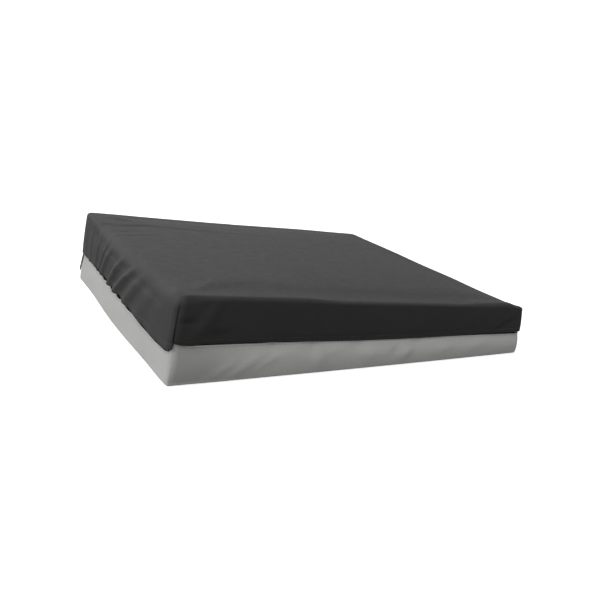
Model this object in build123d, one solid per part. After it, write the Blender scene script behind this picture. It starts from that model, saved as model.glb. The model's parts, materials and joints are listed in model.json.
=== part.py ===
from build123d import *

import math
import os

# Wedge-shaped pressure relief pad: layered foam inside a two-part zipped cover.
#
# Frame: millimetres, +Z up, origin at the centre of the underside.
# -X is the thick end and +X the thin end. -Y is the front side and +Y the back side.
# The zip runs round the thick end, the front and the thin end. The back side is sewn,
# so the top cover opens like a lid about the back seam.

# ---- driving dimensions ------------------------------------------------------
depth = 434.0  # along X, grey base cover, outside to outside at the underside
width = 410.0  # along Y, grey base cover, outside to outside
thick_height = 93.0  # top surface above the underside at the thick end
thin_height = 61.0  # the same at the thin end
end_lean = 12.5  # how far the thick end leans inwards from bottom to top
corner_radius = 5.0  # upright corners of the base cover, in plan
cover_proud = 3.5  # how far the top cover stands outside the base cover
cloth = 0.9  # thickness of both coated cover cloths
hem_level = (43.0, 28.0)  # lower edge of the flaps, at the thick and the thin end
base_edge_level = (40.5, 25.0)  # upper edge of the base cover
zip_above_hem = 7.5
flap_drop = 19.0  # height of a flap, from its seam down to its hem
touch_gap = 0.05  # between pieces that are sewn or glued to each other

# ---- worked-out sizes and levels ---------------------------------------------
half_depth = depth / 2
half_width = width / 2
lean_angle = math.degrees(math.atan(end_lean / thick_height))
top_level = (thick_height, thin_height)


def raised(level, rise):
    """A sloping level moved up by rise. A level is its height at the thick and thin ends."""
    return (level[0] + rise, level[1] + rise)


zip_level = raised(hem_level, zip_above_hem)
seam_level = raised(hem_level, flap_drop)

# zip: insets are counted inwards from the base cover's outer face
tape_inset = (1.7, 2.3)
tape_gap = 0.6  # from the zip line to a tape's free edge
upper_tape_top = 11.8
upper_tape_shelf = 0.8  # the tape's turned-out edge, sewn to the top cover
lower_tape_bottom = -19.6
coil_inset = (1.0, 3.0)
coil_band = (0.5, 2.5)  # from the zip line to a coil's near and far edge
coil_end_y = half_width - 6.3
stop_length = 3.0
tape_end_y = coil_end_y + stop_length + 0.5
sewn_side_y = tape_end_y + 1.0  # behind this the covers are joined by a plain seam

# slider and pull, in the zip's own frame
slider_length = 14.0
slider_half_height = 4.6
slider_rest_y = coil_end_y - slider_length / 2 - 0.2
plate = 0.8  # thickness of the slider's two plates
plate_gap = (0.6, 3.4)  # between the plates, across the chain
web = (3.0, 0.7)  # length and thickness of the wedge that joins the plates
lip = (0.8, 9.0, 1.0)
stud_y = 5.0  # from the slider's middle
stud_radius = 1.1
stud_head = (1.9, 0.3)  # radius and thickness
stud_end = -1.75
pull_faces = (-1.25, -0.45)  # the pull's outer and inner face
pull_length = 37.5  # from the stud to the middle of the round tip
pull_width = 3.6
pull_tip_width = 5.0
pull_eye_radius = 3.0
pull_clearance = 0.05  # radial, between stud and eye
pull_tilt = 15.5  # at rest, its tip towards the back

# foam core
foam_inset = 6.5
foam_corner = 8.0
glue_gap = 0.1
floor_gap = 0.5
roof_gap = 0.6
memory_foam_height = 18.0
cell_foam_height = 26.0
memory_edge_radius = 5.0
rail_width = 48.0  # firm side rails beside the cut-cell layer
cell_cut = 3.0
cell_cut_depth = 17.0
cells_x = 8
cells_y = 6

# edges and seams
top_edge_radius = 8.0
base_edge_radius = 2.0
back_gap = 0.3  # on both sides of the back seam
binding = (1.0, 9.0)  # thickness and height of the back seam's binding
hem_height = 5.0
hem_cloth = 0.4
flap_gap = 0.15  # between a flap and the cover above it
slit = 0.6  # between neighbouring flaps at a corner
seam_tape = 0.6
seam_tape_width = 9.0  # on each side of a corner
far = 600.0  # larger than the whole pad


# ---- shared shapes -----------------------------------------------------------
def face_x(z):
    """X of the base cover's outer face at the thick end, which leans inwards going up."""
    return -half_depth + end_lean * z / thick_height


def outline(inset, z, radius):
    """Rounded plan outline at height z, moved inwards by inset."""
    left = face_x(z) + inset
    right = half_depth - inset
    shape = RectangleRounded(right - left, width - 2 * inset, radius)
    return Pos((left + right) / 2, 0, z) * shape


def column(inset, radius=None):
    """Upright block with the pad's leaning thick end, taller than the pad."""
    radius = corner_radius - inset if radius is None else radius
    low, high = -10.0, thick_height + 10.0
    return loft([outline(inset, low, radius), outline(inset, high, radius)])


def slab(low, high):
    """Everything between two levels that slope from the thick end to the thin end."""

    def end_heights(level):
        slope = (level[1] - level[0]) / depth
        return level[0] - slope * (far - half_depth), level[1] + slope * (far - half_depth)

    low_a, low_b = end_heights(low)
    high_a, high_b = end_heights(high)
    side = Polyline((-far, low_a), (far, low_b), (far, high_b), (-far, high_a), close=True)
    return extrude(Plane.XZ * make_face(side), far, both=True)


def wall(outer, inner, low, high):
    """Thin wall right round the pad, between two insets and two levels."""
    return (column(outer) - column(inner)) & slab(low, high)


def plan_region(*points):
    """Upright prism over a plan polygon, for keeping one side of a wall."""
    return extrude(make_face(Polyline(*points, close=True)), far, both=True)


def zipped_sides(end_y):
    return plan_region((-far, -far), (far, -far), (far, end_y), (-far, end_y))


def sewn_side():
    return plan_region((-far, sewn_side_y), (far, sewn_side_y), (far, far), (-far, far))


def flap_region(side):
    """Plan region of one flap. Neighbouring flaps meet on the front corners' 45 degree lines."""
    thick_x = face_x(hem_level[0] + flap_drop / 2) + corner_radius
    thin_x = half_depth - corner_radius
    corner_y = corner_radius - half_width
    end = sewn_side_y - 0.3
    if side == "left":
        outline_points = [(thick_x, end), (-far, end), (-far, corner_y - far)]
        outline_points += [(thick_x - far, corner_y - far), (thick_x, corner_y)]
    elif side == "front":
        a = thick_x + slit
        b = thin_x - slit
        outline_points = [(a, corner_y), (a - far, corner_y - far), (b + far, corner_y - far), (b, corner_y)]
    else:
        outline_points = [(thin_x, end), (far, end), (far, corner_y - far)]
        outline_points += [(thin_x + far, corner_y - far), (thin_x, corner_y)]
    return plan_region(*outline_points)


# ---- covers ------------------------------------------------------------------
def base_cover():
    """Grey tray that holds the foam."""
    outside = column(0) & slab((0, 0), base_edge_level)
    outside = fillet(outside.edges().group_by(Axis.Z)[0], base_edge_radius)
    inside = column(cloth) & slab((cloth, cloth), raised(base_edge_level, 5))
    return outside - fillet(inside.edges().group_by(Axis.Z)[0], base_edge_radius - cloth)


def top_cover():
    """Dark stretch cover: sloping panel and walls. Only its back wall reaches the back seam."""

    def block(inset, top, radius):
        solid = column(inset) & slab(raised(hem_level, back_gap), top)
        roof = solid.faces().filter_by(lambda f: f.normal_at().Z > 0.9)
        return fillet(roof.edges(), radius)

    outside = block(-cover_proud, top_level, top_edge_radius)
    inside = block(cloth - cover_proud, raised(top_level, -cloth), top_edge_radius - cloth)
    behind_flaps = slab(raised(hem_level, -5), seam_level) - sewn_side()
    return outside - inside - behind_flaps


def flap(side):
    """Waterfall flap over the zip, hanging from its seam on the top cover."""
    band = wall(-cover_proud, cloth - cover_proud, hem_level, raised(seam_level, -flap_gap))
    return band & flap_region(side)


def flap_hem(side):
    """Folded edge stitched on the outside of a flap."""
    inner = -cover_proud - touch_gap
    band = wall(inner - hem_cloth, inner, hem_level, raised(hem_level, hem_height))
    return band & flap_region(side)


def back_seam_binding():
    """Binding of the sewn seam: one leg on the base cover, one under the top cover's edge."""
    thickness, height = binding
    length = depth - 2 * corner_radius - end_lean
    face = half_width + touch_gap
    upright = Pos(end_lean / 2, face + thickness / 2, 0) * Box(length, thickness, far)
    reach = half_width + cover_proud - face
    ledge = Pos(end_lean / 2, face + reach / 2, 0) * Box(length, reach, far)
    top = raised(hem_level, -back_gap)
    return (upright & slab(raised(hem_level, -height), top)) + (ledge & slab(raised(top, -thickness), top))


def corner_seam_tapes(outer, low, high):
    """Four sealing strips inside the upright corner seams of a cover."""
    band = wall(outer, outer + seam_tape, low, high)
    strips = []
    for x in (face_x(sum(low + high) / 4), half_depth):
        for y in (-half_width, half_width):
            strips.append(band & Pos(x, y, 0) * Box(2 * seam_tape_width, 2 * seam_tape_width, far))
    return strips


# ---- zip ---------------------------------------------------------------------
def zip_line(rise):
    return raised(zip_level, rise)


def upper_zip_tape():
    """Woven tape with its upper edge turned out to the top cover."""
    tape = wall(*tape_inset, zip_line(tape_gap), zip_line(upper_tape_top))
    sewn_face = touch_gap + cloth - cover_proud
    shelf_bottom = zip_line(upper_tape_top - upper_tape_shelf)
    tape += wall(sewn_face, tape_inset[0], shelf_bottom, zip_line(upper_tape_top))
    return tape & zipped_sides(tape_end_y)


def lower_zip_tape():
    """Woven tape with its lower edge folded thicker, where the base cover is sewn to it."""
    tape = wall(*tape_inset, zip_line(lower_tape_bottom), zip_line(-tape_gap))
    sewn_top = raised(base_edge_level, -0.3)
    tape += wall(cloth + touch_gap, tape_inset[0], zip_line(lower_tape_bottom), sewn_top)
    return tape & zipped_sides(tape_end_y)


def zip_coil(tape, up):
    """Coil on a tape's free edge: up is 1 for the upper and -1 for the lower one."""
    low, high = sorted((up * coil_band[0], up * coil_band[1]))
    coil = wall(*coil_inset, zip_line(low), zip_line(high))
    return (coil & zipped_sides(coil_end_y)) - tape


def zip_frame(y, end="thick"):
    """Location on the zip line: local +X points into the pad, +Z up along the wall."""
    if end == "thin":
        return Location((half_depth, y, zip_level[1]), (0, 0, 180))
    return Location((face_x(zip_level[0]), y, zip_level[0]), (0, lean_angle, 0))


def zip_stop(end, tape):
    """Clamp on the lower tape, past the coil's end."""
    middle_y = coil_end_y + 0.1 + stop_length / 2
    block = Pos(2.7, 0, -2.5) * Box(3.4, stop_length, 4.2)
    return zip_frame(middle_y, end) * block - tape


def slider_body():
    """Two plates joined by a thin web that runs between the coils, with the pull's stud."""
    outline_face = RectangleRounded(slider_length, 2 * slider_half_height, 2.2)
    outer, inner = plate_gap
    outer_plate = extrude(Plane.YZ.offset(outer - plate) * outline_face, plate)
    inner_plate = extrude(Plane.YZ.offset(inner) * outline_face, plate)
    lip_z = lip[2] / 2 - slider_half_height
    lips = [Pos(outer + lip[0] / 2, 0, lip_z) * Box(*lip), Pos(inner - lip[0] / 2, 0, lip_z) * Box(*lip)]
    neck = Pos((outer + inner) / 2, (slider_length - web[0]) / 2, 0) * Box(inner - outer, *web)
    head_radius, head_thickness = stud_head
    shank = extrude(Plane.YZ.offset(stud_end) * Circle(stud_radius), outer - stud_end - plate / 2)
    head = extrude(Plane.YZ.offset(stud_end) * Circle(head_radius), head_thickness)
    return outer_plate + inner_plate + lips + neck + Pos(0, stud_y, 0) * (shank + head)


def pull_tab():
    """Slim pull that hangs from the stud."""
    half_top = pull_width / 2
    half_tip = pull_tip_width / 2
    body = Polyline(
        (-half_top, 0), (half_top, 0), (half_tip, -pull_length), (-half_tip, -pull_length), close=True
    )
    sheet = make_face(body) + Circle(pull_eye_radius) + Pos(0, -pull_length) * Circle(half_tip)
    sheet -= Circle(stud_radius + pull_clearance)
    placed = Plane(origin=(pull_faces[0], 0, 0), x_dir=(0, 1, 0), z_dir=(1, 0, 0)) * sheet
    tab = extrude(placed, pull_faces[1] - pull_faces[0])
    return Pos(0, stud_y, 0) * Rot(pull_tilt, 0, 0) * tab


# ---- foam --------------------------------------------------------------------
foam_top = raised(top_level, -cloth - roof_gap)
memory_floor = raised(foam_top, -memory_foam_height)
cell_top = raised(memory_floor, -glue_gap)
cell_floor = raised(memory_floor, -cell_foam_height)
rail_y = half_width - foam_inset - rail_width  # inner face of the side rails


def foam_layer(low, high):
    return column(foam_inset, foam_corner) & slab(low, high)


def firm_base_foam():
    """Firm wedge that gives the pad its slope."""
    floor = cloth + floor_gap
    return foam_layer((floor, floor), raised(cell_floor, -glue_gap))


def side_rail(side):
    """Firm rail along the front (-1) or the back (+1)."""
    inner = side * rail_y
    keep = plan_region((-far, inner), (far, inner), (far, side * far), (-far, side * far))
    return foam_layer(cell_floor, cell_top) & keep


def cut_cell_foam():
    """Softer middle layer, cut from above into cells that sink on their own."""
    half = rail_y - glue_gap
    keep = plan_region((-far, -half), (far, -half), (far, half), (-far, half))
    block = foam_layer(cell_floor, cell_top) & keep
    back_x = half_depth - foam_inset
    front_x = face_x(cell_top[0]) + foam_inset
    cuts = Part()
    for i in range(1, cells_x):
        cuts += Pos(front_x + (back_x - front_x) * i / cells_x, 0, 0) * Box(cell_cut, far, far)
    for j in range(1, cells_y):
        cuts += Pos(0, half * (2 * j / cells_y - 1), 0) * Box(2 * far, cell_cut, far)
    return block - (cuts & slab(raised(cell_top, -cell_cut_depth), raised(cell_top, 5)))


def memory_foam():
    """Slow-recovery top layer over the rails and the cells."""
    solid = foam_layer(memory_floor, foam_top)
    roof = solid.faces().filter_by(lambda f: f.normal_at().Z > 0.9)
    return fillet(roof.edges(), memory_edge_radius)


# ---- the assembly ------------------------------------------------------------
def all_nodes():
    upper_tape = upper_zip_tape()
    lower_tape = lower_zip_tape()
    slider_place = zip_frame(slider_rest_y)
    base_tapes_top = zip_line(lower_tape_bottom - 0.5)
    top_tapes = (zip_line(upper_tape_top + 0.2), raised(top_level, -top_edge_radius))
    nodes = {
        "base_cover": base_cover(),
        "base_corner_seam_tapes": corner_seam_tapes(cloth + touch_gap, (6, 6), base_tapes_top),
        "back_seam_binding": back_seam_binding(),
        "lower_zip_tape": lower_tape,
        "lower_zip_coil": zip_coil(lower_tape, -1),
        "zip_closed_stop": zip_stop("thick", lower_tape),
        "zip_open_stop": zip_stop("thin", lower_tape),
        "firm_base_foam": firm_base_foam(),
        "front_rail_foam": side_rail(-1),
        "back_rail_foam": side_rail(1),
        "cut_cell_foam": cut_cell_foam(),
        "memory_foam": memory_foam(),
        "top_cover": top_cover(),
        "top_corner_seam_tapes": corner_seam_tapes(touch_gap + cloth - cover_proud, *top_tapes),
        "upper_zip_tape": upper_tape,
        "upper_zip_coil": zip_coil(upper_tape, 1),
        "zip_slider": slider_place * slider_body(),
        "pull_tab": slider_place * pull_tab(),
    }
    for side in ("left", "front", "right"):
        nodes[side + "_flap"] = flap(side)
        nodes[side + "_flap_hem"] = flap_hem(side)
    return nodes


def solids_of(shape):
    pieces = shape if isinstance(shape, list) else [shape]
    return [solid for piece in pieces for solid in piece.solids()]


def main():
    os.makedirs("parts", exist_ok=True)
    for name, shape in all_nodes().items():
        solids = solids_of(shape)
        whole = Compound(children=solids) if len(solids) > 1 else solids[0]
        export_step(whole, f"parts/{name}.step")


main()
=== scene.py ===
import json
import math

import bmesh
import bpy
import numpy as np
from mathutils import Matrix, Vector, kdtree, noise


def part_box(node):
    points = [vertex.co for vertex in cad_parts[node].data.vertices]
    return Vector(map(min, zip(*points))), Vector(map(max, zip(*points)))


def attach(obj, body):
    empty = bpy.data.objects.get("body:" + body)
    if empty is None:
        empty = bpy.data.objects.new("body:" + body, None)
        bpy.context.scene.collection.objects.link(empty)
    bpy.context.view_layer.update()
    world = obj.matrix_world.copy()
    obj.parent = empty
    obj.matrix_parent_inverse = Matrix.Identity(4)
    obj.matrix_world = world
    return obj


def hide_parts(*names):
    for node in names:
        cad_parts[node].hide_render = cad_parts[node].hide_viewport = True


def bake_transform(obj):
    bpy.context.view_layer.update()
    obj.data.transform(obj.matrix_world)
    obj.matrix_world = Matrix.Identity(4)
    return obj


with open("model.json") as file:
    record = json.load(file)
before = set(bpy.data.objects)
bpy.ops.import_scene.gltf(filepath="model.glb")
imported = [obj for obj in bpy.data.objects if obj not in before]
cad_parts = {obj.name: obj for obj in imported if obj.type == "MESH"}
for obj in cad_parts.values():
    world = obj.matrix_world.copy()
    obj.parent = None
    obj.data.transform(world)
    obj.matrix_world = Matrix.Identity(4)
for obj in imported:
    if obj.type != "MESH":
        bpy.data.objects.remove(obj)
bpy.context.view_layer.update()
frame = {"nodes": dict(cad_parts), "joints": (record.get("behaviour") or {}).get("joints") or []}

# Wedge-shaped pressure relief pad: dark stretch cover over a grey base cover, with foam inside.
# Lengths are in millimetres and become metres when a mesh is made. +X is the thin end, -Y the front.
MM = 0.001


# ---- sizes, from the frame -----------------------------------------------------------------------
def box_mm(node):
    low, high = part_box(node)
    return np.array(low) / MM, np.array(high) / MM


joints = {joint["name"]: joint for joint in frame["joints"]}
base_low, base_high = box_mm("base_cover")
cover_low, cover_high = box_mm("top_cover")
HALF_DEPTH = base_high[0]
HALF_WIDTH = base_high[1]
PROUD = cover_high[1] - HALF_WIDTH  # the top cover stands this far outside the base cover
CORNER = 5.0  # upright corner radius of the base cover
FIRST_SEAM = 218.0  # direction of the near left upright seam, a little towards the thick end
lid_axis = joints["cover_open"]["axis"]
pull_axis = joints["pull_swing"]["axis"]
SLOPE = -lid_axis[2] / lid_axis[0]  # of the hem and the zip, falling towards the thin end
LEAN = -pull_axis[2] / pull_axis[0]  # of the thick end's face
HEM_MIDDLE = joints["cover_open"]["pos_m"][2] / MM
SEAM_MIDDLE = joints["front_flap_lift"]["pos_m"][2] / MM
ZIP_MIDDLE = joints["pull_swing"]["pos_m"][2] / MM - SLOPE * HALF_DEPTH
BASE_EDGE = (40.5, 25.0)  # base cover's upper edge, at the thick and the thin end
TOP = (93.0, 61.0)  # top surface, at the thick and the thin end
BLEND_ABOVE = 2.0  # a flap's cloth starts this far above its seam
CLOTH = 0.9


def level(ends):
    """Height as a function of x, from the heights at the thick and thin ends."""
    middle = sum(ends) / 2
    slope = (ends[1] - ends[0]) / (2 * HALF_DEPTH)
    return lambda x: middle + slope * x


def hem_z(x):
    return HEM_MIDDLE - SLOPE * x


def seam_z(x):
    return SEAM_MIDDLE - SLOPE * x


def zip_z(x):
    return ZIP_MIDDLE - SLOPE * x


base_edge_z = level(BASE_EDGE)
top_z = level(TOP)


def bump(value, centre, width):
    """Smooth hill of height 1."""
    return np.exp(-(((value - centre) / width) ** 2))


def ease(value, start, end):
    """0 before start, 1 after end, smooth between."""
    t = np.clip((value - start) / (end - start), 0, 1)
    return t * t * (3 - 2 * t)


# ---- columns round the pad -------------------------------------------------------------------------
# Column directions through a corner, in degrees past its first side: close together at the seams
FINE_CORNER = (0, 9, 18, 26, 31, 34.5, 36.5, 37.6, 38.4, 39.5, 41.5, 43.5, 44.8, 45.2, 46.5, 49, 52, 58, 65,
               73, 81)
COARSE_CORNER = (0, 45)


class Columns:
    """Upright lines round the pad. across and along are 0 to 1 over the inner core rectangle."""

    def __init__(self, spacing, corner):
        across, along, normal = [], [], []
        depth_steps = round((2 * HALF_DEPTH - 2 * CORNER) / spacing)
        width_steps = round((2 * HALF_WIDTH - 2 * CORNER) / spacing)
        sides = [
            ((0, 1), (0, 0), 180, width_steps),
            ((0, 0), (1, 0), 270, depth_steps),
            ((1, 0), (1, 1), 0, width_steps),
            ((1, 1), (0, 1), 90, depth_steps),
        ]
        for start, end, angle, steps in sides:
            for i in range(steps):
                t = i / steps
                across.append(start[0] + (end[0] - start[0]) * t)
                along.append(start[1] + (end[1] - start[1]) * t)
                normal.append(angle)
            for turn in corner:
                across.append(end[0])
                along.append(end[1])
                normal.append(angle + turn)
        self.across = np.array(across, float)
        self.along = np.array(along, float)
        self.angle = np.array(normal, float) % 360
        self.nx = np.cos(np.radians(self.angle))
        self.ny = np.sin(np.radians(self.angle))

    def pick(self, keep):
        """The same columns, only those of keep, an index list in order."""
        part = object.__new__(Columns)
        for name in ("across", "along", "angle", "nx", "ny"):
            setattr(part, name, getattr(self, name)[keep])
        return part

    def y(self):
        half = HALF_WIDTH - CORNER
        return -half + 2 * half * self.along + self.ny * CORNER

    def square(self, share, radius):
        """Extra reach that squares rounded corners off, by share 0 to 1."""
        turn = np.radians(45 - np.abs(self.angle % 90 - 45))
        return share * radius * (1 / np.cos(turn) - 1)

    def ring(self, height, out):
        """Points on the pad's side at a height, out millimetres outside the base cover's face."""
        z = np.full(len(self.across), 50.0)
        for _ in range(4):
            left = -HALF_DEPTH + LEAN * z + CORNER
            right = HALF_DEPTH - CORNER
            x = left + (right - left) * self.across + self.nx * (CORNER + out)
            z = height(x) if callable(height) else np.zeros(len(x)) + height
        y = -HALF_WIDTH + CORNER + 2 * (HALF_WIDTH - CORNER) * self.along + self.ny * (CORNER + out)
        return np.stack([x, y, z], axis=1)


# ---- the shape of the loose cloth ------------------------------------------------------------------
# Folds of the thick end's loose cloth: place along Y at the hem, lean (Y per height), width, rise
FOLDS = (
    (183, 0.3, 4.5, 0.8),
    (153, 0.2, 5.5, 1.3),
    (119, -0.1, 5, 1.7),
    (94, -0.5, 5, 1.8),
    (73, -0.65, 8, 3.0),
    (26, -0.9, 9, 3.6),
    (-7, -1.3, 10, 4.0),
    (-50, -1.1, 13, 2.8),
    (-98, -1.0, 20, 1.8),
    (-150, -0.5, 20, 1.0),
)
# Soft ridges and dents: place along the side, height, lean, width, length, rise
FRONT_MARKS = (
    (-181, 23, 0.64, 8, 20, 1.9),
    (-200, 23.5, 0, 9, 3.2, -1.5),
    (-208.0, 33, 0.15, 1.5, 7, -1.5),
    (-167, 10.5, 0, 12, 5, -1.3),
    (192, 10, 1.9, 6, 9, -1.3),
    (158, 24, 1.5, 12, 14, 0.6),
)
GREY_FRONT_MARKS = (
    (-137, 16, 1.3, 10, 14, 0.7),
    (-160, 14, 1.3, 8, 12, 0.5),
    (-112, 19, 1.3, 9, 10, 0.5),
    (-90, 25, 0.6, 11, 7, 0.5),
    (-54, 15, 0, 8, 9, 0.8),
    (-34, 25, 0.5, 11, 6, 0.5),
    (11, 17, 0.4, 11, 8, 0.6),
    (42, 18, 0.5, 6, 7, -0.5),
    (56, 14, 0.5, 7, 8, 0.8),
    (110, 16, 0.6, 11, 7, 0.5),
    (159, 17, 0.6, 12, 7, 0.4),
    (-107, 36, 0, 9, 5, -0.8),
    (-60, 31, 0, 8, 5, -0.8),
    (-6, 27, 0, 8, 5, -0.8),
    (70, 25, 0, 8, 4, -0.6),
)
# Short creases that run in from the top's thick end: X, Y, length, depth
TOP_CREASES = ((-178, 122, 26, 0.5), (-186, 91, 17, 0.45), (-178, 66, 22, 0.45), (-197, 8, 8, 0.3),
               (-186, -71, 8, 0.25))


def marks_sum(marks, place, height):
    total = np.zeros(len(place))
    for middle, level_up, lean, width, length, rise in marks:
        across = place - middle - lean * (height - level_up)
        total += rise * bump(across, 0, width) * bump(height, level_up, length)
    return total


def side_weights(columns):
    """How far each column belongs to the left, front, right and back side. They add up to 1."""
    def near(angle):
        return np.clip(1 - np.abs((columns.angle - angle + 180) % 360 - 180) / 90, 0, 1)

    return near(180), near(270), near(0), near(90)


def dent_shade(columns, row):
    """The front's dents are darker, as little light reaches into them."""
    dents = [mark for mark in FRONT_MARKS if mark[-1] < 0]
    depth = -marks_sum(dents, row[:, 0], row[:, 2] - hem_z(row[:, 0]))
    return np.clip(0.35 * side_weights(columns)[1] * depth, 0, 0.6)


def thick_end_bow(y):
    """The thick end is not quite straight in plan: its middle stands out."""
    return 4.8 * ease(y, 160, -10) * (1 - 0.33 * ease(y, -40, -150)) * (1 - 0.25 * ease(y, -180, -212))


def fold_rise(y, height):
    rise = sum(lift * bump(y, place + lean * height, width) for place, lean, width, lift in FOLDS)
    return rise - 0.6 * ease(y, -200, -150)


def fold_shade(columns, row):
    """The hollows between the thick end's folds get painted shade."""
    y, height = row[:, 1], row[:, 2] - hem_z(row[:, 0])
    hollow = ease(fold_rise(y, height), 1.6, 0.0) * ease(height, 40, 22)
    among = ease(y, -115, -80) * ease(y, 150, 120)
    return 0.42 * side_weights(columns)[0] * hollow * among


def from_corner(columns):
    """Distance of the left and right sides' columns from the upright corners, 0 on the other sides."""
    return np.minimum(columns.along, 1 - columns.along) * 2 * (HALF_WIDTH - CORNER)


def edge_radii(columns):
    """Vertical and horizontal radius of the top cover's upper edge, which is softest at the thick end."""
    left, front, right, back = side_weights(columns)
    soft = left * ease(columns.y(), 200, 60)
    sharp = 1.8 * ease(columns.y(), 170, 200) * (left + back) * (columns.across < 0.5)
    thin = right * (0.35 + 0.65 * ease(columns.y(), 100, -150))
    near_left = front * ease(columns.across, 0.06, 0.0) * (columns.along < 0.5)
    tall = 5 + 9 * soft + 2 * thin + 5 * near_left - sharp
    return tall, 5 + (6.5 * soft + 11 * thin) * ease(from_corner(columns), 0, 35) - sharp


def side_out(columns, points, height):
    """Outward offset of the dark side walls. height is measured up from the hem."""
    left, front, right, back = side_weights(columns)
    x, y = points[:, 0], points[:, 1]
    full = top_z(x) - hem_z(x)
    share = np.clip(height / full, 0, 1)
    belly = np.sin(np.pi * share)
    out = 0.8 * belly * (0.3 + 0.7 * front + 0.3 * right + 0.5 * back)
    loose = ease(height, 47, 26)
    out = out + left * loose * fold_rise(y, height)
    out = out + left * (thick_end_bow(y) + 0.8 * bump(y, -25, 115) * ease(height, 30, 0))
    # the far end of the thick end is square, held off by the slider
    out = out - 0.3 * ease(y, 150, 203) * ease(x, -150, -205)
    far_left = (columns.angle > 90) & (columns.angle < 180)
    out = out + columns.square(0.6 * far_left, CORNER + PROUD)
    # the front's and the back's lower edges turn in towards the zip, the thin end's stands off
    out = out - 1.5 * ease(height, 7.0, 0.0) * (front * ease(x, 205, 150) + 0.6 * back)
    out = out + 1.0 * right * ease(height, 30, 0)
    # the left flap's free end lies over the front flap's
    first = (columns.angle > 180) & (columns.angle < FIRST_SEAM)
    out = out + 1.1 * first * ease(height, 32, 8) * ease(columns.angle, 180, FIRST_SEAM)
    out = out + front * marks_sum(FRONT_MARKS, x, height)
    # long shallow waves along the front, the thin end and the back
    out = out + front * 0.25 * np.sin(x / 31.0 + height / 17.0)
    out = out + right * 0.5 * np.sin(y / 19.0 + height / 7.0)
    return out + back * 0.5 * np.sin(x / 27.0 - height / 11.0)


def thick_end_sag(y):
    """How far the thick end's two cloth edges hang below their straight lines."""
    sag = 0.7 + 7.5 * ease(y, 10, -170) - 4.0 * ease(y, -188, -212) + 3.4 * ease(y, 70, 150)
    return sag + 0.6 * fold_rise(y + 3, 0.0)


def hem_drop(columns, points):
    """How far the hem hangs below its straight line."""
    left, front, right, back = side_weights(columns)
    x, y = points[:, 0], points[:, 1]
    thick_end = (columns.angle > 90) & (columns.angle < FIRST_SEAM)
    drop = np.where(thick_end, np.minimum(1, 2 * left) * thick_end_sag(y), 0)
    long_edge = 3.2 * ease(x, -150, 0) * ease(x, 260, 40) - 0.6 * ease(x, 178, 214)
    long_edge = long_edge + 1.3 * bump(x, -197, 9) - 2.6 * ease(x, -206, -214)
    drop = drop + np.where(thick_end, 0, front * long_edge)
    return drop + 0.3 * (right + back) * np.sin(y / 21.0 + x / 33.0)


def base_drop(columns, points):
    """The grey edge follows the dark hems above it."""
    left, front, right, back = side_weights(columns)
    x, y = points[:, 0], points[:, 1]
    thick_end = ease(columns.angle, 206, 184) * (columns.angle > 90)
    raised = 4.2 * ease(columns.angle, 192, 207) * (columns.angle < 275) * ease(x, -199, -207)
    gap = 1.3 + 2.9 * ease(y, 160, 90) * ease(y, -208, -110)
    return thick_end * (0.92 * thick_end_sag(y) + gap) - raised + front * 0.8 * ease(x, -150, 0)


def top_lift(x, y):
    """Crown, sag and creases of the top surface, added to its height."""
    u = np.clip(x / (HALF_DEPTH + PROUD), -1, 1)
    v = np.clip(y / (HALF_WIDTH + PROUD), -1, 1)
    lift = 1.2 * (1 - u**2) ** 0.6 * (1 - v**2) ** 0.6
    back_edge = 1.7 * ease(x, -90, -200) - 1.3 * ease(x, -120, 0)
    lift = lift + back_edge * ease(y, 90, 205)
    lift = lift - 4.0 * ease(x, 110, 214) * ease(y, -203, -175) * (0.35 + 0.65 * ease(y, 200, 0))
    front_edge = -1.9 * ease(x, -75, -25) * ease(x, 175, 120) + 0.6 * bump(x, 188, 12)
    front_edge = front_edge - 3.6 * ease(x, 198, 216) - 3.6 * ease(x, -199, -217) * ease(y, -185, -205)
    lift = lift + front_edge * ease(y, -60, -200)
    # a long shallow valley runs from the far part of the thick end towards the thin end
    valley = y - 100 + 0.17 * (x + 30)
    fade = 0.35 + 0.65 * ease(x, 60, -170)
    lift = lift + fade * (0.55 * bump(valley, 13, 8) - 0.5 * bump(valley, 0, 5))
    for middle, place, length, depth in TOP_CREASES:
        wave = bump(y, place, 2.4) - 0.7 * bump(y, place + 6, 3.5)
        lift = lift - depth * wave * bump(x, middle, length)
    pucker = np.sin(y / 4.6) * bump(x, HALF_DEPTH - 16, 9)
    return lift + 0.15 * pucker


def base_out(columns, points):
    """Outward offset of the grey side walls."""
    left, front, right, back = side_weights(columns)
    x, y, z = points.T
    share = np.clip(z / base_edge_z(x), 0, 1)
    belly = np.sin(np.pi * share**1.15)
    out = belly * (0.7 + 2.2 * front + 0.9 * back) + 3.2 * right
    out = out + front * (1.6 * (1 - share) + 1.6 * (1 - (x / 217) ** 2) * (1 - share**2))
    out = out + left * thick_end_bow(y)
    out = out + 2.1 * front * marks_sum(GREY_FRONT_MARKS, x, z)
    out = out + front * belly * 0.15 * np.sin(x / 9.0 - z / 7.0)
    out = out + back * belly * 0.6 * np.sin(x / 17.0 + z / 9.0)
    return out + (left + right) * belly * 0.4 * np.sin(y / 23.0 + z / 11.0)


# ---- mesh helpers ----------------------------------------------------------------------------------
def make_object(name, points, faces, smooth=True):
    mesh = bpy.data.meshes.new(name)
    mesh.from_pydata([tuple(p) for p in np.asarray(points) * MM], [], faces)
    mesh.polygons.foreach_set("use_smooth", [smooth] * len(mesh.polygons))
    mesh.update()
    obj = bpy.data.objects.new(name, mesh)
    bpy.context.scene.collection.objects.link(obj)
    return obj


def sheet_faces(rows, columns, closed):
    faces = []
    count = columns if closed else columns - 1
    for r in range(rows - 1):
        for c in range(count):
            d = (c + 1) % columns
            faces.append((r * columns + c, r * columns + d, (r + 1) * columns + d, (r + 1) * columns + c))
    return faces


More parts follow.
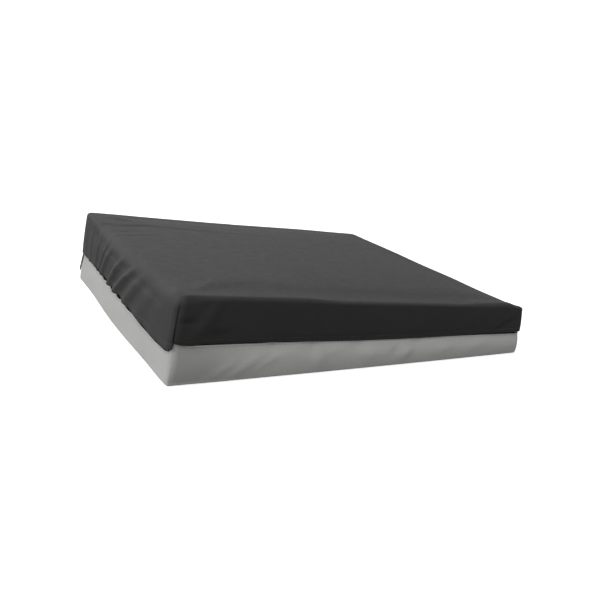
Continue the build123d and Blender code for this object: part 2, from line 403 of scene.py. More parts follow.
def sheet(name, rows, closed=True, cap=False):
    """Surface through rows of points. cap closes the last row with one face."""
    columns = len(rows[0])
    faces = sheet_faces(len(rows), columns, closed)
    if cap:
        last = (len(rows) - 1) * columns
        faces.append(tuple(last + c for c in range(columns)))
    return make_object(name, np.concatenate(rows), faces)


def paint(obj, name, values):
    """Stores one number per vertex, for the material to read."""
    attribute = obj.data.attributes.new(name, "FLOAT", "POINT")
    attribute.data.foreach_set("value", np.asarray(values, np.float32))


def thicken(obj, thickness, inner=None):
    """Gives cloth its thickness, inwards. inner is the material of its back."""
    mesh = bmesh.new()
    mesh.from_mesh(obj.data)
    for edge in mesh.edges:
        edge.smooth = not edge.is_boundary
    mesh.to_mesh(obj.data)
    mesh.free()
    modifier = obj.modifiers.new("thickness", "SOLIDIFY")
    modifier.thickness = thickness * MM
    modifier.offset = -1
    if inner is not None:
        obj.data.materials.append(inner)
        modifier.material_offset = 1
        modifier.material_offset_rim = 0


def place(obj, body, slot, material=None, replaces=()):
    if material is not None:
        obj.data.materials.clear()
        obj.data.materials.append(material)
    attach(obj, body)
    if replaces:
        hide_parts(*replaces)
    return obj


def path_frames(path, spacing, closed=False):
    """Evenly spaced points and directions along a path of points."""
    path = np.asarray(path, float)
    if closed:
        path = np.concatenate([path, path[:1]])
    steps = np.linalg.norm(np.diff(path, axis=0), axis=1)
    run = np.concatenate([[0], np.cumsum(steps)])
    places = np.arange(spacing / 2, run[-1] - spacing / 4, spacing)
    points = np.stack([np.interp(places, run, path[:, i]) for i in range(3)], axis=1)
    ahead = np.stack([np.interp(places + 0.5, run, path[:, i]) for i in range(3)], axis=1)
    behind = np.stack([np.interp(places - 0.5, run, path[:, i]) for i in range(3)], axis=1)
    along = ahead - behind
    return points, along / np.linalg.norm(along, axis=1)[:, None], places


def stitches(name, path, outwards, pitch=3.6, length=2.5, radius=0.28, sides=6):
    """A row of thread stitches along a path. outwards holds each path point's outward direction."""
    points, along, places = path_frames(path, pitch)
    run = np.concatenate([[0], np.cumsum(np.linalg.norm(np.diff(path, axis=0), axis=1))])
    out = np.stack([np.interp(places, run, np.asarray(outwards)[:, i]) for i in range(3)], axis=1)
    out = out / np.linalg.norm(out, axis=1)[:, None]
    across = np.cross(along, out)
    stations = [(-0.5, 0.25, -0.25), (-0.38, 0.9, 0.1), (0.0, 1.0, 0.35), (0.38, 0.9, 0.1), (0.5, 0.25, -0.25)]
    vertices, faces = [], []
    for point, t, o, a in zip(points, along, out, across):
        first = len(vertices)
        for shift, size, lift in stations:
            centre = point + t * shift * length + o * lift * radius
            for k in range(sides):
                angle = 2 * math.pi * k / sides
                vertices.append(centre + size * radius * (a * math.cos(angle) + o * math.sin(angle)))
        for s in range(len(stations) - 1):
            for k in range(sides):
                n = (k + 1) % sides
                row = first + s * sides
                faces.append((row + k, row + n, row + sides + n, row + sides + k))
        faces.append(tuple(first + k for k in reversed(range(sides))))
        last = first + (len(stations) - 1) * sides
        faces.append(tuple(last + k for k in range(sides)))
    return make_object(name, vertices, faces)


# ---- materials -------------------------------------------------------------------------------------
class Nodes:
    """Short words for building one material's node tree."""

    def __init__(self, name):
        self.material = bpy.data.materials.new(name)
        self.material.use_nodes = True
        self.tree = self.material.node_tree
        self.shader = self.tree.nodes["Principled BSDF"]
        self.place = self.new("ShaderNodeTexCoord").outputs["Object"]

    def new(self, kind, **settings):
        node = self.tree.nodes.new(kind)
        for name, value in settings.items():
            setattr(node, name, value)
        return node

    def link(self, source, target):
        self.tree.links.new(source, target)

    def set(self, **values):
        for name, value in values.items():
            socket = self.shader.inputs[name.replace("_", " ")]
            if hasattr(value, "is_linked"):
                self.link(value, socket)
            else:
                socket.default_value = value

    def math(self, operation, a, b=0.0, c=0.0):
        node = self.new("ShaderNodeMath", operation=operation)
        for socket, value in zip(node.inputs, (a, b, c)):
            if hasattr(value, "is_linked"):
                self.link(value, socket)
            else:
                socket.default_value = value
        return node.outputs[0]

    def noise(self, size, detail=3.0, stretch=(1, 1, 1)):
        """Noise whose blobs are about size millimetres."""
        mapping = self.new("ShaderNodeMapping")
        mapping.inputs["Scale"].default_value = [s / (size * MM) for s in stretch]
        self.link(self.place, mapping.inputs["Vector"])
        texture = self.new("ShaderNodeTexNoise")
        texture.inputs["Scale"].default_value = 1.0
        texture.inputs["Detail"].default_value = detail
        self.link(mapping.outputs["Vector"], texture.inputs["Vector"])
        return texture.outputs["Fac"]

    def cells(self, size):
        texture = self.new("ShaderNodeTexVoronoi")
        texture.inputs["Scale"].default_value = 1 / (size * MM)
        self.link(self.place, texture.inputs["Vector"])
        return texture.outputs["Distance"]

    def weave(self, pitch):
        """Threads crossing on every face: the sum of fine waves along X, Y and Z."""
        split = self.new("ShaderNodeSeparateXYZ")
        self.link(self.place, split.inputs[0])
        waves = []
        for axis in "XYZ":
            turn = self.math("MULTIPLY", split.outputs[axis], 2 * math.pi / (pitch * MM))
            waves.append(self.math("SINE", turn))
        return self.math("ADD", self.math("MULTIPLY", waves[0], waves[1]), self.math("MULTIPLY", waves[2],
                         self.math("ADD", waves[0], waves[1])))

    def mask(self, name):
        return self.new("ShaderNodeAttribute", attribute_name=name).outputs["Fac"]

    def mix(self, share, first, second):
        node = self.new("ShaderNodeMix", data_type="RGBA")
        for socket, value in zip((node.inputs[0], node.inputs[6], node.inputs[7]), (share, first, second)):
            if hasattr(value, "is_linked"):
                self.link(value, socket)
            else:
                socket.default_value = value
        return node.outputs[2]

    def bump(self, height, distance, strength=1.0, below=None):
        node = self.new("ShaderNodeBump")
        node.inputs["Strength"].default_value = strength
        node.inputs["Distance"].default_value = distance * MM
        self.link(height, node.inputs["Height"])
        if below is not None:
            self.link(below, node.inputs["Normal"])
        return node.outputs["Normal"]


def shade(colour, factor):
    return tuple(min(1.0, c * factor) for c in colour[:3]) + (1.0,)


def cloth_material(name, colour, rough, pitch, weave_depth, sheen=0.04, crease_depth=0.3, worn=1.5):
    """Coated woven cloth: threads, soft creases, slight colour drift, lighter worn edges and painted
    highlights, darker seams and painted shade.
    """
    n = Nodes(name)
    drift = n.noise(70, 4)
    grain = n.noise(1.6, 4)
    threads = n.weave(pitch)
    base = n.mix(drift, shade(colour, 0.86), shade(colour, 1.14))
    speck = n.math("MULTIPLY_ADD", grain, 0.5, -0.1)
    base = n.mix(speck, base, shade(colour, 1.35))
    # this mask lightens rubbed edges and also paints highlights on the lit hems and along the grey edge; worn
    # sets how much lighter
    base = n.mix(n.math("MULTIPLY", n.mask("wear_and_highlight"), 0.55), base, shade(colour, worn))
    # this mask darkens the seams and also paints shade into dents, fold hollows, under the left hem and on the
    # grey front's left end
    base = n.mix(n.mask("seams_and_painted_shade"), base, shade(colour, 0.25))
    roughness = n.math("MULTIPLY_ADD", n.noise(9, 3), 0.16, rough - 0.08)
    creases = n.bump(n.noise(26, 5), crease_depth)
    grained = n.bump(grain, 0.05, 0.6, creases)
    n.set(Base_Color=base, Roughness=roughness, Sheen_Weight=sheen, Sheen_Roughness=0.45,
          Normal=n.bump(threads, weave_depth, 0.5, grained), Specular_IOR_Level=0.3)
    return n.material


def tape_material(name, colour):
    """Woven zip tape: close ribs across the tape."""
    n = Nodes(name)
    threads = n.weave(0.9)
    base = n.mix(n.noise(3, 3), shade(colour, 0.8), shade(colour, 1.5))
    n.set(Base_Color=base, Roughness=n.math("MULTIPLY_ADD", n.noise(2, 2), 0.15, 0.68),
          Sheen_Weight=0.2, Normal=n.bump(threads, 0.12, 0.8))
    return n.material


def thread_material(name, colour):
    """Twisted sewing thread."""
    n = Nodes(name)
    twist = n.noise(0.35, 2, (1, 1, 2.5))
    n.set(Base_Color=n.mix(twist, shade(colour, 0.7), shade(colour, 1.3)),
          Roughness=n.math("MULTIPLY_ADD", twist, 0.2, 0.45), Sheen_Weight=0.3, Normal=n.bump(twist, 0.08, 0.8))
    return n.material


def plastic_material(name, colour):
    """Moulded filament of the zip coils."""
    n = Nodes(name)
    drift = n.noise(4, 3)
    n.set(Base_Color=n.mix(drift, shade(colour, 0.8), shade(colour, 1.4)),
          Roughness=n.math("MULTIPLY_ADD", drift, 0.15, 0.32), Normal=n.bump(n.noise(0.8, 3), 0.02, 0.4))
    return n.material


def enamel_material(name, colour):
    """Black enamel on die-cast zinc, with fine scratches and worn, brighter spots."""
    n = Nodes(name)
    scratches = n.noise(1.2, 5, (1, 6, 1))
    worn = n.math("GREATER_THAN", n.noise(2.2, 5), 0.68)
    base = n.mix(worn, shade(colour, 1.0), (0.22, 0.21, 0.2, 1.0))
    n.set(Base_Color=base, Metallic=0.55, Coat_Weight=0.25,
          Roughness=n.math("MULTIPLY_ADD", scratches, 0.25, 0.25), Normal=n.bump(scratches, 0.03, 0.4))
    return n.material


def foam_material(name, colour, pore):
    """Open-cell foam: cut pores, speckle and soft colour drift."""
    n = Nodes(name)
    pores = n.cells(pore)
    fine = n.noise(pore * 0.7, 4)
    base = n.mix(n.noise(55, 3), shade(colour, 0.93), shade(colour, 1.05))
    base = n.mix(n.math("MULTIPLY_ADD", pores, -0.9, 0.55), base, shade(colour, 0.68))
    n.set(Base_Color=base, Roughness=n.math("MULTIPLY_ADD", fine, 0.1, 0.85), Sheen_Weight=0.15,
          Subsurface_Weight=0.08, Subsurface_Radius=(0.004, 0.003, 0.002),
          Normal=n.bump(pores, 0.5, 0.55, n.bump(fine, 0.2, 0.5)))
    return n.material


DARK = (0.018, 0.018, 0.018)
GREY = (0.405, 0.405, 0.391)
BLACK = (0.012, 0.012, 0.013)
dark_cloth = cloth_material("dark_stretch_cloth", DARK, 0.60, 1.1, 0.10)
dark_fold = cloth_material("dark_folded_edge", shade(DARK, 0.85), 0.62, 1.1, 0.10, crease_depth=0.25)
dark_lining = cloth_material("dark_cloth_coating", (0.16, 0.16, 0.165), 0.42, 1.6, 0.03, sheen=0.05)
grey_cloth = cloth_material("grey_base_cloth", GREY, 0.56, 1.3, 0.08, sheen=0.1, crease_depth=0.7, worn=1.2)
grey_lining = cloth_material("grey_cloth_coating", (0.55, 0.55, 0.54), 0.4, 1.6, 0.03, sheen=0.05)
sealing_tape = cloth_material("sealing_tape", (0.13, 0.13, 0.135), 0.35, 2.0, 0.02, sheen=0.0)
zip_tape = tape_material("zip_tape", BLACK)
dark_thread = thread_material("dark_thread", (0.05, 0.05, 0.052))
grey_thread = thread_material("grey_thread", (0.2, 0.2, 0.195))
coil_plastic = plastic_material("coil_plastic", (0.02, 0.02, 0.022))
enamel = enamel_material("black_enamel", (0.018, 0.018, 0.02))
memory_foam = foam_material("memory_foam", (0.84, 0.78, 0.60), 1.1)
cell_foam = foam_material("cell_foam", (0.82, 0.81, 0.76), 1.5)
rail_foam = foam_material("rail_foam", (0.50, 0.56, 0.66), 1.6)
firm_foam = foam_material("firm_foam", (0.62, 0.66, 0.70), 1.8)


# ---- cloth simulation ------------------------------------------------------------------------------
class Swell:
    """How far the cover swells over its filling, from a cloth simulation of a closed pad shape."""

    def __init__(self, inset, voxel, cap):
        self.tree = None
        coarse = Columns(24, COARSE_CORNER)
        bottom = coarse.ring(seam_z, PROUD - inset)
        shoulder = coarse.ring(lambda x: top_z(x) - 5, PROUD - inset)
        roof = coarse.ring(lambda x: top_z(x) - inset, PROUD - inset - 5)
        closed = sheet("swell_shape", [bottom, shoulder, roof], cap=True)
        closed.data.flip_normals()
        mesh = bmesh.new()
        mesh.from_mesh(closed.data)
        bmesh.ops.contextual_create(mesh, geom=[e for e in mesh.edges if e.is_boundary])
        bmesh.ops.recalc_face_normals(mesh, faces=mesh.faces)
        mesh.to_mesh(closed.data)
        mesh.free()
        closed.data.remesh_voxel_size = voxel * MM
        bpy.context.view_layer.objects.active = closed
        closed.select_set(True)
        bpy.ops.object.voxel_remesh()
        rest = self.coordinates(closed.data)
        scene = bpy.context.scene
        modifier = closed.modifiers.new("cloth", "CLOTH")
        settings = modifier.settings
        settings.use_pressure = True
        settings.uniform_pressure_force = 4.0
        settings.effector_weights.gravity = 0.0
        settings.quality = 6
        settings.tension_stiffness = 15
        settings.compression_stiffness = 15
        group = closed.vertex_groups.new(name="held")
        held = [i for i, p in enumerate(rest) if p[2] < seam_z(p[0]) + 2.5]
        group.add([int(i) for i in held], 1.0, "REPLACE")
        settings.vertex_group_mass = "held"
        modifier.point_cache.frame_start = 1
        modifier.point_cache.frame_end = 20
        for number in range(1, 21):
            scene.frame_set(number)
        evaluated = closed.evaluated_get(bpy.context.evaluated_depsgraph_get())
        moved = self.coordinates(evaluated.data) - rest
        scene.frame_set(1)
        length = np.linalg.norm(moved, axis=1)
        moved *= (np.minimum(length, cap) / np.maximum(length, 1e-6))[:, None]
        bpy.data.objects.remove(closed)
        self.moved = moved
        self.tree = kdtree.KDTree(len(rest))
        for i, point in enumerate(rest):
            self.tree.insert(point, i)
        self.tree.balance()

    @staticmethod
    def coordinates(mesh):
        flat = np.zeros(len(mesh.vertices) * 3)
        mesh.vertices.foreach_get("co", flat)
        return flat.reshape(-1, 3) / MM

    def at(self, points, neighbours=6):
        """Movement of the cloth at each point, averaged over its nearest simulated points."""
        if self.tree is None:
            return np.zeros_like(points)
        result = np.zeros_like(points)
        for i, point in enumerate(points):
            found = self.tree.find_n(point, neighbours)
            weights = np.array([1 / (0.5 + distance) for _, _, distance in found])
            moves = np.array([self.moved[index] for _, index, _ in found])
            result[i] = (weights[:, None] * moves).sum(0) / weights.sum()
        return result


swell = Swell(inset=2.0, voxel=6.0, cap=5.0)


# ---- covers ----------------------------------------------------------------------------------------
round_pad = Columns(2.4, FINE_CORNER)
LEFT_END_Y = box_mm("left_flap")[1][1]  # the flaps stop here, before the sewn back side
SHARE = 0.5  # of the simulated swell that the cover keeps


def dark_row(columns, height):
    """Points of the dark side at a height function, with the loose cloth's offsets."""
    points = columns.ring(height, PROUD)
    above_hem = points[:, 2] - hem_z(points[:, 0])
    offset = side_out(columns, points, above_hem)
    points[:, 0] += columns.nx * offset
    points[:, 1] += columns.ny * offset
    return points


def corner_mask(columns, first=225.0, width=2.2):
    """1 on the upright corner seams, falling off within a few degrees. first is the near left seam."""
    near_left = (columns.angle > 180) & (columns.angle < 270)
    turn = np.where(near_left, columns.angle - first, columns.angle % 90 - 45)
    return np.exp(-((turn / width) ** 2))


def seam_groove(columns, points, mask, depth):
    points[:, 0] -= columns.nx * depth * mask
    points[:, 1] -= columns.ny * depth * mask
    return points


# Rings of the top surface, as shares of its rim: 2 mm steps near the rim, wider ones further in
TOP_RINGS = [1 - 0.0097 * n - 0.0004 * n**2 for n in range(1, 37)] + [0.08, 0.04, 0.01]


def top_cover_rows(columns):
    """Rows from the flap seam up the side, over the edge and in to the middle of the top."""
    rows, wear_and_highlight, seams_and_painted_shade = [], [], []
    corners = corner_mask(columns, FIRST_SEAM)
    tall, wide = edge_radii(columns)
    for t in np.linspace(0, 1, 12):
        def height(x, t=t):
            low = seam_z(x) + BLEND_ABOVE
            return low + (top_z(x) - tall - low) * t

        rows.append(seam_groove(columns, dark_row(columns, height), corners, 0.9))
        wear_and_highlight.append(np.zeros(len(columns.across)))
        # the corner seams are darker; the front's dents and the hollows between the thick end's folds get
        # painted shade
        seams_and_painted_shade.append(np.maximum(corners * 0.85, dent_shade(columns, rows[-1]) + fold_shade(columns, rows[-1])))
    for angle in np.linspace(0, 90, 10)[1:]:
        turn = math.radians(angle)
        drop = tall * (1 - math.sin(turn))
        inwards = wide * (1 - math.cos(turn))
        points = columns.ring(lambda x, d=drop: top_z(x) - d, PROUD - inwards)
        fade = math.cos(turn) ** 2
        offset = side_out(columns, points, points[:, 2] - hem_z(points[:, 0]))
        bow = side_weights(columns)[0] * thick_end_bow(points[:, 1])
        offset = bow + (offset - bow) * fade
        points[:, 0] += columns.nx * offset
        points[:, 1] += columns.ny * offset
        points[:, 2] += top_lift(points[:, 0], points[:, 1]) * math.sin(turn)
        rows.append(seam_groove(columns, points, corners * fade**2, 0.5))
        wear_and_highlight.append(np.full(len(columns.across), math.sin(2 * turn) ** 2))
        seams_and_painted_shade.append(corners * 0.8 * fade)
    rim = rows[-1]
    centre = np.array([rim[:, 0].mean(), 0.0])
    for share in TOP_RINGS:
        points = rim.copy()
        points[:, :2] = centre + (rim[:, :2] - centre) * share
        points[:, 2] = top_z(points[:, 0]) + top_lift(points[:, 0], points[:, 1])
        rows.append(points)
        wear_and_highlight.append(np.zeros(len(points)))
        seams_and_painted_shade.append(np.zeros(len(points)))
    return rows, wear_and_highlight, seams_and_painted_shade


def build_top_cover():
    rows, wear_and_highlight, seams_and_painted_shade = top_cover_rows(round_pad)
    count = len(rows[0])
    # the swell shows on the thick end and on the top, and leaves the corners and the seams alone
    thick_end = 0.7 * side_weights(round_pad)[0] * ease(from_corner(round_pad), 10, 70)
    for number, row in enumerate(rows):
        fade = ease(number, 0, 9) * np.maximum(thick_end, ease(number, 21, 36))
        rows[number] = row + swell.at(row) * SHARE * fade[:, None]
    # the sewn back side goes on down from the lowest row to the hem
    back = np.where(row_y(rows[0]) > LEFT_END_Y + 0.2)[0]
    order = np.concatenate([back[back >= back[0]], []]).astype(int)
    points = np.concatenate(rows)
    faces = sheet_faces(len(rows), count, True)
    faces.append(tuple((len(rows) - 1) * count + c for c in range(count)))
    behind = round_pad.pick(order)
    skirt = []
    for t in np.linspace(0, 1, 8)[1:]:
        def height(x, t=t):
            high = seam_z(x) + BLEND_ABOVE
            return high + (hem_z(x) + 0.3 - high) * t

        skirt.append(seam_groove(behind, dark_row(behind, height), corner_mask(behind), 0.7))
    above = list(order)
    first = len(points)
    for number, row in enumerate(skirt):
        below = [first + number * len(order) + k for k in range(len(order))]
        faces += [(below[k], below[k + 1], above[k + 1], above[k]) for k in range(len(order) - 1)]
        above = below
    cover = make_object("top_cover_cloth", np.concatenate([points] + skirt), faces)
    extra = len(skirt) * len(order)
    paint(cover, "wear_and_highlight", np.concatenate([np.concatenate(wear_and_highlight), np.zeros(extra)]))
    paint(cover, "seams_and_painted_shade", np.concatenate([np.concatenate(seams_and_painted_shade), np.tile(corner_mask(behind), len(skirt)) * 0.8]))
    place(cover, "cover", "top_cloth", dark_cloth, ["top_cover"])
    thicken(cover, CLOTH, dark_lining)


def row_y(row):
    return row[:, 1]


build_top_cover()


def flap_columns(side):
    """The columns of one flap, in order. Flaps meet at the middle of the front corners."""
    y = round_pad.y()
    zipped = y < LEFT_END_Y
    angle = round_pad.angle
    if side == "left":
        keep = zipped & (angle < FIRST_SEAM) & (angle > 90)
    elif side == "front":
        keep = zipped & (angle > FIRST_SEAM + 1) & (angle < 315)
    else:
        keep = zipped & ((angle > 316) | (angle < 90))
    order = np.where(keep)[0]
    if side == "left":
        count = len(angle)
        tail = order[order > count // 2]
        order = np.concatenate([tail, order[order <= count // 2]])
    return round_pad.pick(order)


def flap_point_row(columns, t):
    """One row of a flap: t is 0 above its seam and 1 at its hem."""
    low = dark_row(columns, hem_z)
    drop = hem_drop(columns, low)

    def height(x):
        high = seam_z(x) + BLEND_ABOVE
        bottom = hem_z(x) - drop
        return high + (bottom - high) * t

    return dark_row(columns, height)


def outward(columns, tilt=0.0):
    directions = np.stack([columns.nx, columns.ny, np.full(len(columns.nx), tilt)], axis=1)
    return directions / np.linalg.norm(directions, axis=1)[:, None]


def build_flap(side):
    columns = flap_columns(side)
    body = side + "_flap_body"
    shares = np.linspace(0, 1, 17)
    rows = [flap_point_row(columns, t) for t in shares]
    cloth = sheet(side + "_flap_cloth", rows[::-1], closed=False)
    free = np.zeros(len(columns.across))
    free[:2] = free[-2:] = 0.6
    # the free ends are lighter with wear; the hem's lowest rows get a painted highlight, weak on the left flap,
    # which lies in shade
    lit = 0.1 if side == "left" else 0.8
    edge = [np.maximum(free, ease(t, 0.93, 1.0) * lit) for t in shares[::-1]]
    paint(cloth, "wear_and_highlight", np.concatenate(edge))
    shade = [dent_shade(columns, row) + fold_shade(columns, row) for row in rows]
    # the corner seams are darker, and the dents and fold hollows get painted shade
    seam_and_shade_rows = [np.maximum(corner_mask(columns, FIRST_SEAM, 3.5) * 0.8, dark) for dark in shade]
    paint(cloth, "seams_and_painted_shade", np.concatenate(seam_and_shade_rows[::-1]))
    cloth.data.materials.append(dark_cloth)
    thicken(cloth, CLOTH, dark_lining)
    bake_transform(cloth)
    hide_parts(side + "_flap")
    build_hem(side, columns, body)


def build_hem(side, columns, body):
    """Edge folded up behind the flap, with a row of stitches through it."""
    out = outward(columns)
    stations = ((0.74, -0.95, 0), (0.77, -1.25, 0), (0.88, -1.25, 0), (1.0, -1.2, 0.1), (1.0, -0.6, 0.5),
                (1.0, -0.05, 0.35), (0.99, 0.05, 0))
    rows = []
    for share, lift, fall in stations:
        row = flap_point_row(columns, share) + out * lift
        row[:, 2] -= fall
        rows.append(row)
    hem = sheet(side + "_flap_hem_fold", rows, closed=False)
    # the front and right hem folds get a painted highlight; the left hem fold is painted dark instead, a
    # painted shadow under the left hem
    lit = 0 if side == "left" else 1
    paint(hem, "wear_and_highlight", np.concatenate([np.full(len(out), w * lit) for w in (0, 0, 0, 0.2, 0.5, 0.3, 0)]))
    paint(hem, "seams_and_painted_shade", np.full(len(out) * len(rows), 0.7 - 0.7 * lit))
    place(hem, body, "binding", dark_fold, [side + "_flap_hem"])
    thicken(hem, 0.25)
    line = flap_point_row(columns, 0.80) + out * 0.04
    place(stitches(side + "_flap_hem_stitches", line, out, radius=0.14), body, "binding", dark_thread)


for flap_side in ("left", "front", "right"):
    build_flap(flap_side)


def build_base_cover():
    """Grey tray: from the middle of its floor out, round the lower edge and up to its stitched edge."""
    columns = round_pad
    corners = corner_mask(columns)
    radius = 2.0
    rows, wear_and_highlight, seams_and_painted_shade = [], [], []
    floor = columns.ring(lambda x: 0 * x, -radius)
    for share in (0.02, 0.2, 0.45, 0.7, 0.88, 0.97):
        row = floor.copy()
        row[:, :2] *= share
        rows.append(row)
        wear_and_highlight.append(np.zeros(len(row)))
        seams_and_painted_shade.append(np.zeros(len(row)))
    square = 0.1 + 0.7 * ((columns.angle > 90) & (columns.angle < 270))
    for angle in np.linspace(0, 90, 6):
        turn = math.radians(angle)
        foot = columns.ring(lambda x: 0 * x, 0)
        reach = radius * (math.sin(turn) - 1) + columns.square(square, CORNER)
        reach = reach + base_out(columns, foot)
        row = columns.ring(lambda x, t=turn: radius * (1 - math.cos(t)) + 0 * x, reach)
        rows.append(row)
        wear_and_highlight.append(np.full(len(row), math.sin(2 * turn) ** 2))
        seams_and_painted_shade.append(np.full(len(row), 0.25 * math.cos(turn)))
    edge_row = columns.ring(base_edge_z, 0)
    drop = base_drop(columns, edge_row)
    for t in np.linspace(0, 1, 17)[1:]:
        squared = columns.square(square * ease(t, 0.8, 0.0), CORNER)
        row = columns.ring(lambda x, t=t: radius + (base_edge_z(x) - drop - radius) * t, squared)
        offset = base_out(columns, row)
        row[:, 0] += columns.nx * offset
        row[:, 1] += columns.ny * offset
        rows.append(seam_groove(columns, row, corners, 0.35))
        # painted highlight along the grey edge's top rows
        wear_and_highlight.append(np.full(len(row), 0.9 * ease(t, 0.94, 1.0)))
        # painted shade on the grey front towards the near left corner
        shaded = 0.35 * side_weights(columns)[1] * ease(row[:, 0], -110, -195)
        seams_and_painted_shade.append(np.maximum(corners * 0.22, shaded))
    tray = sheet("base_cover_cloth", rows, closed=True)
    faces = [tuple(reversed(range(len(floor))))]
    mesh = bmesh.new()
    mesh.from_mesh(tray.data)
    mesh.verts.ensure_lookup_table()
    mesh.faces.new([mesh.verts[i] for i in faces[0]])
    mesh.to_mesh(tray.data)
    mesh.free()
    paint(tray, "wear_and_highlight", np.concatenate(wear_and_highlight))
    paint(tray, "seams_and_painted_shade", np.concatenate(seams_and_painted_shade))
    place(tray, "base", "base_cloth", grey_cloth, ["base_cover"])
    thicken(tray, CLOTH, grey_lining)
    build_base_edge(columns, rows[-1], rows[-3])


def build_base_edge(columns, top_row, lower_row):
    """Rounded piping on the grey edge and the stitches under it."""
    out = outward(columns)
    rows = []
    for angle in np.linspace(-70, 160, 8):
        turn = math.radians(angle)
        row = top_row + out * (0.8 * math.cos(turn) - 0.2)
        row[:, 2] += 0.8 * math.sin(turn) - 0.4
        rows.append(row)
    piping = sheet("base_edge_piping", rows, closed=True)
    # the piping gets a painted highlight all round
    paint(piping, "wear_and_highlight", np.full(len(columns.across) * len(rows), 1.0))
    paint(piping, "seams_and_painted_shade", np.zeros(len(columns.across) * len(rows)))
    place(piping, "base", "base_cloth", grey_cloth)
    thicken(piping, 0.25)
    line = top_row + (lower_row - top_row) * 0.4 + out * 0.1
    line = np.concatenate([line, line[:1]])
    around = np.concatenate([out, out[:1]])
    place(stitches("base_edge_stitches", line, around, pitch=4.2, length=2.6, radius=0.16),
          "base", "base_cloth", grey_thread)


build_base_cover()


# ---- foam ------------------------------------------------------------------------------------------
def foam_piece(node, name, material, slot, voxel=None, follow_top=False):
    """A copy of a foam layer with soft edges. The top layer follows the cover's crown."""
    piece = bpy.data.objects.new(name, frame["nodes"][node].data.copy())
    bpy.context.scene.collection.objects.link(piece)
    if voxel:
        piece.data.remesh_voxel_size = voxel * MM
        bpy.context.view_layer.objects.active = piece
        piece.select_set(True)
        bpy.ops.object.voxel_remesh()
        points = Swell.coordinates(piece.data)
        if follow_top:
            share = ease(points[:, 2], top_z(points[:, 0]) - 18, top_z(points[:, 0]) - 3)
            lift = np.minimum(top_lift(points[:, 0], points[:, 1]) - 0.3, 0.8)
            points[:, 2] += share * lift
        rough = [noise.noise(Vector(p) / 14.0) * 0.25 for p in points]
        points[:, 2] += rough
        piece.data.vertices.foreach_set("co", (points * MM).ravel())
        piece.data.polygons.foreach_set("use_smooth", [True] * len(piece.data.polygons))
    else:
        edge = piece.modifiers.new("soft_edges", "BEVEL")
        edge.width = 0.8 * MM
        edge.segments = 3
        edge.limit_method = "ANGLE"
        edge.angle_limit = math.radians(40)
    place(piece, "base", slot, material, [node])


foam_piece("memory_foam", "memory_foam_layer", memory_foam, "memory_foam", voxel=4.0, follow_top=True)
foam_piece("cut_cell_foam", "cut_cell_foam_layer", cell_foam, "cell_foam")
foam_piece("front_rail_foam", "front_foam_rail", rail_foam, "rail_foam")
foam_piece("back_rail_foam", "back_foam_rail", rail_foam, "rail_foam")
foam_piece("firm_base_foam", "firm_foam_wedge", firm_foam, "firm_foam")


# ---- zip -------------------------------------------------------------------------------------------
COIL_PITCH = 1.9


def coil_path():
    """Middle line of the chain, round the three zipped sides."""
    y = round_pad.y()
    limit = box_mm("lower_zip_coil")[1][1]
    order = np.where(y < limit)[0]
    angle = round_pad.angle
    start = [i for i in order if 90 < angle[i] <= 180]
    rest = [i for i in order if not 90 < angle[i] <= 180]
    columns = round_pad.pick(np.array(start + rest))
    row = columns.ring(zip_z, -2.0)
    return row, outward(columns)


def build_coil(name, up, body, node):
    """One spiral filament, sewn along a tape's edge."""
    path, out = coil_path()
    turn_steps = 10
    points, along, places = path_frames(path, COIL_PITCH / turn_steps)
    run = np.concatenate([[0], np.cumsum(np.linalg.norm(np.diff(path, axis=0), axis=1))])
    outs = np.stack([np.interp(places, run, out[:, i]) for i in range(3)], axis=1)
    turns = 2 * np.pi * places / COIL_PITCH + (0 if up > 0 else np.pi)
    centres = points + outs * (0.75 * np.cos(turns))[:, None]
    centres[:, 2] += up * 1.5 + 0.72 * np.sin(turns)
    sides = 5
    radius = 0.24
    ahead = np.gradient(centres, axis=0)
    ahead /= np.linalg.norm(ahead, axis=1)[:, None]
    first = np.cross(ahead, [0, 0, 1.0])
    first /= np.linalg.norm(first, axis=1)[:, None]
    second = np.cross(ahead, first)
    rings = [centres + radius * (first * math.cos(a) + second * math.sin(a))
             for a in np.linspace(0, 2 * math.pi, sides, endpoint=False)]
    coil = sheet(name, rings + [rings[0]], closed=False)
    place(coil, body, "zip_coil", coil_plastic, [node])


build_coil("upper_zip_spiral", 1, "cover", "upper_zip_coil")
build_coil("lower_zip_spiral", -1, "base", "lower_zip_coil")


# ---- CAD nodes that stay ---------------------------------------------------------------------------
def finish_node(node, material, bevel=None):
    obj = frame["nodes"][node]
    for index in range(max(1, len(obj.material_slots))):
        if not obj.material_slots:
            obj.data.materials.append(material)
        obj.material_slots[index].material = material
    if bevel:
        edge = obj.modifiers.new("edges", "BEVEL")
        edge.width = bevel * MM
        edge.segments = 3
        edge.limit_method = "ANGLE"
        edge.angle_limit = math.radians(35)


finish_node("lower_zip_tape", zip_tape)
finish_node("upper_zip_tape", zip_tape)
finish_node("zip_slider", enamel, 0.18)
finish_node("pull_tab", enamel, 0.15)
finish_node("zip_closed_stop", enamel, 0.25)
finish_node("zip_open_stop", enamel, 0.25)
finish_node("base_corner_seam_tapes", sealing_tape)
finish_node("top_corner_seam_tapes", sealing_tape)
finish_node("back_seam_binding", dark_fold, 0.3)


# ---- studio ----------------------------------------------------------------------------------------
ROOM_BRIGHT = (-0.85, 0.15, 0.5)  # direction in which the room is brightest
ROOM_RANGE = (-0.85, 1.0, 0.03, 1.5)  # from the darkest to the brightest direction, and the strengths there


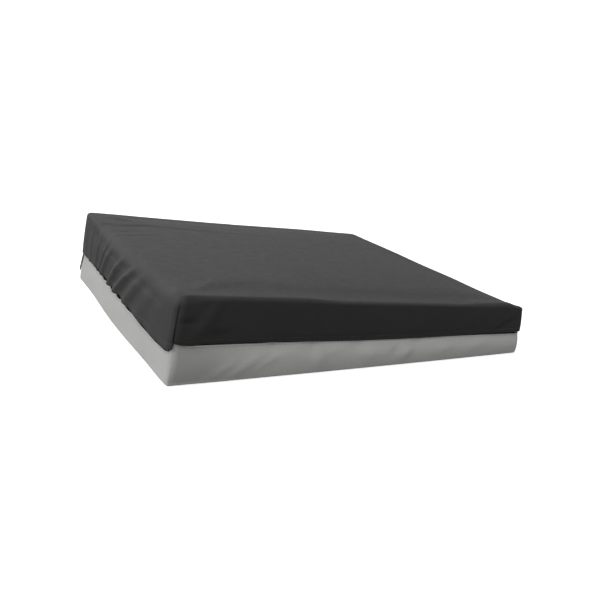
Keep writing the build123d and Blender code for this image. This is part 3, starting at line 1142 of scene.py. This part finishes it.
def build_floor():
    """Pale floor. It looks near white, and throws little light back up at the object."""
    floor = make_object("floor", [(-9000, -9000, -0.3), (9000, -9000, -0.3), (9000, 9000, -0.3),
                                  (-9000, 9000, -0.3)], [(0, 1, 2, 3)], smooth=False)
    n = Nodes("pale_floor")
    shown = n.new("ShaderNodeLightPath").outputs["Is Camera Ray"]
    grain = n.mix(n.noise(400, 2), (0.80, 0.80, 0.80, 1), (0.84, 0.84, 0.84, 1))
    n.set(Base_Color=n.mix(shown, (0.3, 0.3, 0.3, 1), grain), Roughness=0.85, Specular_IOR_Level=0.1,
          Emission_Color=(1, 1, 1, 1), Emission_Strength=n.math("MULTIPLY", shown, 0.6))
    floor.data.materials.append(n.material)


def soft_light(name, place_mm, size, power):
    light = bpy.data.lights.new(name, "AREA")
    light.size = size
    light.energy = power
    lamp = bpy.data.objects.new(name, light)
    lamp.location = Vector(place_mm) * MM
    lamp.rotation_euler = (Vector((0, 0, 0.04)) - lamp.location).to_track_quat("-Z", "Y").to_euler()
    bpy.context.scene.collection.objects.link(lamp)


def build_world():
    """A white room, brighter above the thick end than in front of the pad and over its thin end."""
    world = bpy.data.worlds.new("studio")
    world.use_nodes = True
    tree = world.node_tree
    background = tree.nodes["Background"]
    background.inputs["Color"].default_value = (1, 1, 1, 1)
    direction = tree.nodes.new("ShaderNodeTexCoord").outputs["Generated"]
    toward = tree.nodes.new("ShaderNodeVectorMath")
    toward.operation = "DOT_PRODUCT"
    toward.inputs[1].default_value = Vector(ROOM_BRIGHT).normalized()
    tree.links.new(direction, toward.inputs[0])
    room = tree.nodes.new("ShaderNodeMapRange")
    for socket, value in zip(room.inputs[1:5], ROOM_RANGE):
        socket.default_value = value
    tree.links.new(toward.outputs["Value"], room.inputs[0])
    path = tree.nodes.new("ShaderNodeLightPath")
    strength = tree.nodes.new("ShaderNodeMix")
    strength.inputs[3].default_value = 1.2
    tree.links.new(path.outputs["Is Camera Ray"], strength.inputs[0])
    tree.links.new(room.outputs[0], strength.inputs[2])
    tree.links.new(strength.outputs[0], background.inputs["Strength"])
    bpy.context.scene.world = world


def build_camera():
    """The viewing angle: in front of the near left corner, a little above, with a slight roll."""
    camera = bpy.data.objects.new("camera", bpy.data.cameras.new("camera"))
    bpy.context.scene.collection.objects.link(camera)
    camera.data.sensor_width = 36
    camera.data.lens = 49.75
    camera.location = (-0.4555, -0.9319, 0.3114)
    forward = Vector((0.442, 0.855, -0.271)).normalized()
    right = Vector((0.896, -0.437, 0.082))
    right = (right - forward * right.dot(forward)).normalized()
    up = right.cross(forward)
    camera.rotation_mode = "QUATERNION"
    basis = [right, up, -forward]
    matrix = Matrix([[b[i] for b in basis] for i in range(3)])
    camera.rotation_quaternion = matrix.to_quaternion()
    bpy.context.scene.camera = camera


build_floor()
soft_light("key", (-1100, 100, 900), 1.0, 3)
build_world()
build_camera()
bpy.context.scene.view_settings.view_transform = "Standard"
